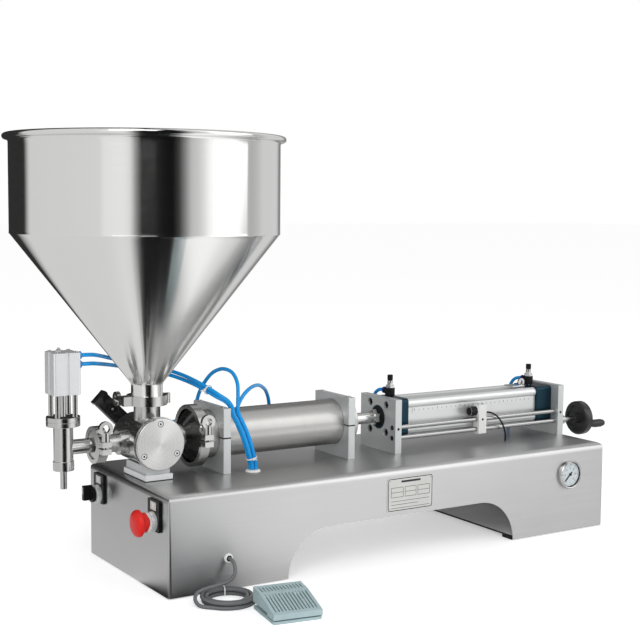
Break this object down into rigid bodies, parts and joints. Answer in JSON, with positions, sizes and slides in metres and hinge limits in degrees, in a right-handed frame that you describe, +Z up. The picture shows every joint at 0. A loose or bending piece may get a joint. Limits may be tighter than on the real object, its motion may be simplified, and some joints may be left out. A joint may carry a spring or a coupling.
{
  "type": "piston paste filling machine",
  "caption": "Bench-top pneumatic piston filler: steel bench, cone hopper, rotary valve, product cylinder, air cylinder with stroke wheel, shut-off nozzle and foot switch.",
  "frame": {"origin": "on the floor, straight under the hopper and the rotary valve", "axes": "+X from the nozzle end to the handwheel end, -Y to the user at the front, +Z up"},
  "size_m": [1.1041, 0.5369, 0.665],
  "materials": {
    "brushed_steel": "fine brushed",
    "polished_steel": "mirror polished",
    "satin_aluminium": "satin",
    "dark_anodised": "dark blue-black anodised",
    "black_plastic": "matte",
    "black_rubber": "matte",
    "red_plastic": "glossy",
    "white_plastic": "matte",
    "blue_hose": "glossy",
    "grey_cable": "matte",
    "grey_paint": "satin paint"
  },
  "bodies": {
    "frame": {"bench_housing": "brushed_steel", "tray_left": "black_rubber", "tray_right": "black_rubber", "valve_pedestal": "brushed_steel", "valve_body": "brushed_steel", "valve_cover": "brushed_steel", "valve_actuator": "black_plastic", "hopper": "polished_steel", "hopper_clamp": "polished_steel", "outlet_clamp": "polished_steel", "cylinder_clamp": "polished_steel", "nozzle_body": "polished_steel", "nozzle_bracket": "brushed_steel", "nozzle_actuator": "satin_aluminium", "product_cylinder": "brushed_steel", "front_plate_lower": "satin_aluminium", "front_plate_upper": "satin_aluminium", "rear_plate_lower": "satin_aluminium", "rear_plate_upper": "satin_aluminium", "cap_plate": "satin_aluminium", "end_plate": "satin_aluminium", "air_cap_front": "dark_anodised", "air_cap_rear": "dark_anodised", "air_barrel": "satin_aluminium", "guide_rod": "polished_steel", "front_flow_control": "black_plastic", "rear_flow_control": "black_plastic", "stop_body": "black_plastic", "selector_body": "black_plastic", "gauge_case": "polished_steel", "cable_grommet": "white_plastic", "hose_grommet": "white_plastic", "foot_base": "grey_paint", "nozzle_hose_upper": "blue_hose", "nozzle_hose_lower": "blue_hose", "valve_hose_high": "blue_hose", "valve_hose_low": "blue_hose", "cylinder_hose_front": "blue_hose", "cylinder_hose_rear": "blue_hose", "foot_cable_near": "grey_cable", "foot_cable_far": "grey_cable", "foot_cable_coil": "grey_cable"},
    "piston": {"product_piston": "white_plastic", "piston_rod": "polished_steel"},
    "valve_plug": {"valve_rotor": "brushed_steel"},
    "plunger": {"nozzle_plunger": "brushed_steel"},
    "setting_screw": {"handwheel": "black_plastic", "lead_screw": "polished_steel"},
    "grip": {"crank_grip": "black_plastic"},
    "sensor": {"sensor_block": "white_plastic", "sensor_cable": "black_plastic"},
    "stop": {"stop_button": "red_plastic"},
    "selector": {"selector_knob": "black_plastic"},
    "needle": {"gauge_pointer": "black_plastic"},
    "front_knob": {"front_flow_knob": "black_plastic"},
    "rear_knob": {"rear_flow_knob": "black_plastic"},
    "hopper_nut": {"hopper_clamp_nut": "polished_steel"},
    "outlet_nut": {"outlet_clamp_nut": "polished_steel"},
    "cylinder_nut": {"cylinder_clamp_nut": "polished_steel"},
    "pedal": {"foot_pedal": "grey_paint"}
  },
  "joints": [
    {"name": "piston_slide", "type": "slide", "parent": "frame", "child": "piston", "axis": [-1, 0, 0], "range_m": [0, 0.2]},
    {"name": "valve_turn", "type": "hinge", "parent": "frame", "child": "valve_plug", "pos_m": [0, 0, 0.206], "axis": [0, 1, 0], "range_deg": [0, 90]},
    {"name": "nozzle_lift", "type": "slide", "parent": "frame", "child": "plunger", "axis": [0, 0, 1], "range_m": [0, 0.015]},
    {"name": "handwheel_turn", "type": "hinge", "parent": "frame", "child": "setting_screw", "pos_m": [0.846, -0.042, 0.1755], "axis": [1, 0, 0], "range_deg": [-9000, 10800]},
    {"name": "sensor_slide", "type": "slide", "parent": "frame", "child": "sensor", "axis": [1, 0, 0], "range_m": [-0.121, 0.101]},
    {"name": "grip_spin", "type": "hinge", "parent": "setting_screw", "child": "grip", "pos_m": [0.878, -0.06357, 0.16617], "axis": [1, 0, 0], "continuous": true},
    {"name": "stop_press", "type": "slide", "parent": "frame", "child": "stop", "axis": [1, 0, 0], "range_m": [0, 0.004]},
    {"name": "selector_turn", "type": "hinge", "parent": "frame", "child": "selector", "pos_m": [-0.05, 0.102, 0.106], "axis": [1, 0, 0], "range_deg": [0, 90]},
    {"name": "needle_turn", "type": "hinge", "parent": "frame", "child": "needle", "pos_m": [0.7337, -0.15, 0.1012], "axis": [0, 1, 0], "range_deg": [0, 270], "stiffness_Nm_per_rad": 0.0005},
    {"name": "front_knob_turn", "type": "hinge", "parent": "frame", "child": "front_knob", "pos_m": [0.453, 0, 0.27], "axis": [0, 0, 1], "range_deg": [0, 1080]},
    {"name": "rear_knob_turn", "type": "hinge", "parent": "frame", "child": "rear_knob", "pos_m": [0.765, 0, 0.27], "axis": [0, 0, 1], "range_deg": [0, 1080]},
    {"name": "hopper_nut_turn", "type": "hinge", "parent": "frame", "child": "hopper_nut", "pos_m": [-0.0365, 0.02, 0.268], "axis": [0, 1, 0], "range_deg": [0, 720]},
    {"name": "outlet_nut_turn", "type": "hinge", "parent": "frame", "child": "outlet_nut", "pos_m": [-0.0816, -0.0335, 0.226], "axis": [0, 0, 1], "range_deg": [0, 720]},
    {"name": "cylinder_nut_turn", "type": "hinge", "parent": "frame", "child": "cylinder_nut", "pos_m": [0.076, -0.054, 0.226], "axis": [0, 0, 1], "range_deg": [0, 720]},
    {"name": "pedal_press", "type": "hinge", "parent": "frame", "child": "pedal", "pos_m": [0.07856, -0.30373, 0.009], "axis": [-0.9877, 0.1564, 0], "range_deg": [0, 4], "stiffness_Nm_per_rad": 1.5, "springref_deg": -8.59}
  ],
  "couplings": [
    {"joint": "sensor_slide", "follows": "handwheel_turn", "m_per_rad": -0.00063662}
  ]
}
